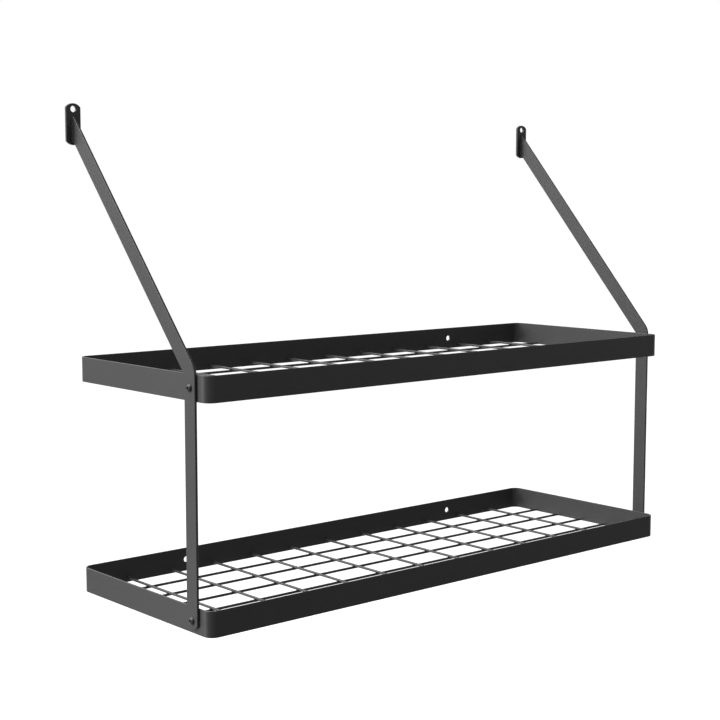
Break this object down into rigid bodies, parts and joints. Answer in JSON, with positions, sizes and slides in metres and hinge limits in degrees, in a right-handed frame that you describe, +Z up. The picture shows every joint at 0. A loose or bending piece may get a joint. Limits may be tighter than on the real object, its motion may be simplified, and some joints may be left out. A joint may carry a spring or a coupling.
{
  "type": "wall mounted pot rack",
  "caption": "Wall mounted pot rack with stacked wire-grid trays in rounded steel strip frames, hung between bent flat-bar side arms that rise to arched wall tabs.",
  "frame": {"origin": "on the wall plane, halfway between the screw holes of the two wall tabs", "axes": "+X along the wall to the right as seen from the room, +Y into the wall, +Z up"},
  "size_m": [0.7926, 0.27, 0.5884],
  "materials": {
    "powder_coated_steel": "satin black powder coat",
    "powder_coated_wire": "satin black powder coat",
    "blackened_fastener": "black zinc plated steel"
  },
  "bodies": {
    "root": {"upper_tray_band": "powder_coated_steel", "upper_long_wire_1": "powder_coated_wire", "upper_long_wire_2": "powder_coated_wire", "upper_long_wire_3": "powder_coated_wire", "upper_long_wire_4": "powder_coated_wire", "upper_long_wire_5": "powder_coated_wire", "upper_cross_wire_01": "powder_coated_wire", "upper_cross_wire_02": "powder_coated_wire", "upper_cross_wire_03": "powder_coated_wire", "upper_cross_wire_04": "powder_coated_wire", "upper_cross_wire_05": "powder_coated_wire", "upper_cross_wire_06": "powder_coated_wire", "upper_cross_wire_07": "powder_coated_wire", "upper_cross_wire_08": "powder_coated_wire", "upper_cross_wire_09": "powder_coated_wire", "upper_cross_wire_10": "powder_coated_wire", "upper_cross_wire_11": "powder_coated_wire", "upper_left_screw": "blackened_fastener", "upper_left_nut": "blackened_fastener", "upper_right_screw": "blackened_fastener", "upper_right_nut": "blackened_fastener", "lower_tray_band": "powder_coated_steel", "lower_long_wire_1": "powder_coated_wire", "lower_long_wire_2": "powder_coated_wire", "lower_long_wire_3": "powder_coated_wire", "lower_long_wire_4": "powder_coated_wire", "lower_long_wire_5": "powder_coated_wire", "lower_cross_wire_01": "powder_coated_wire", "lower_cross_wire_02": "powder_coated_wire", "lower_cross_wire_03": "powder_coated_wire", "lower_cross_wire_04": "powder_coated_wire", "lower_cross_wire_05": "powder_coated_wire", "lower_cross_wire_06": "powder_coated_wire", "lower_cross_wire_07": "powder_coated_wire", "lower_cross_wire_08": "powder_coated_wire", "lower_cross_wire_09": "powder_coated_wire", "lower_cross_wire_10": "powder_coated_wire", "lower_cross_wire_11": "powder_coated_wire", "lower_left_screw": "blackened_fastener", "lower_left_nut": "blackened_fastener", "lower_right_screw": "blackened_fastener", "lower_right_nut": "blackened_fastener", "left_arm": "powder_coated_steel", "left_wall_tab": "powder_coated_steel", "right_arm": "powder_coated_steel", "right_wall_tab": "powder_coated_steel"}
  },
  "joints": []
}
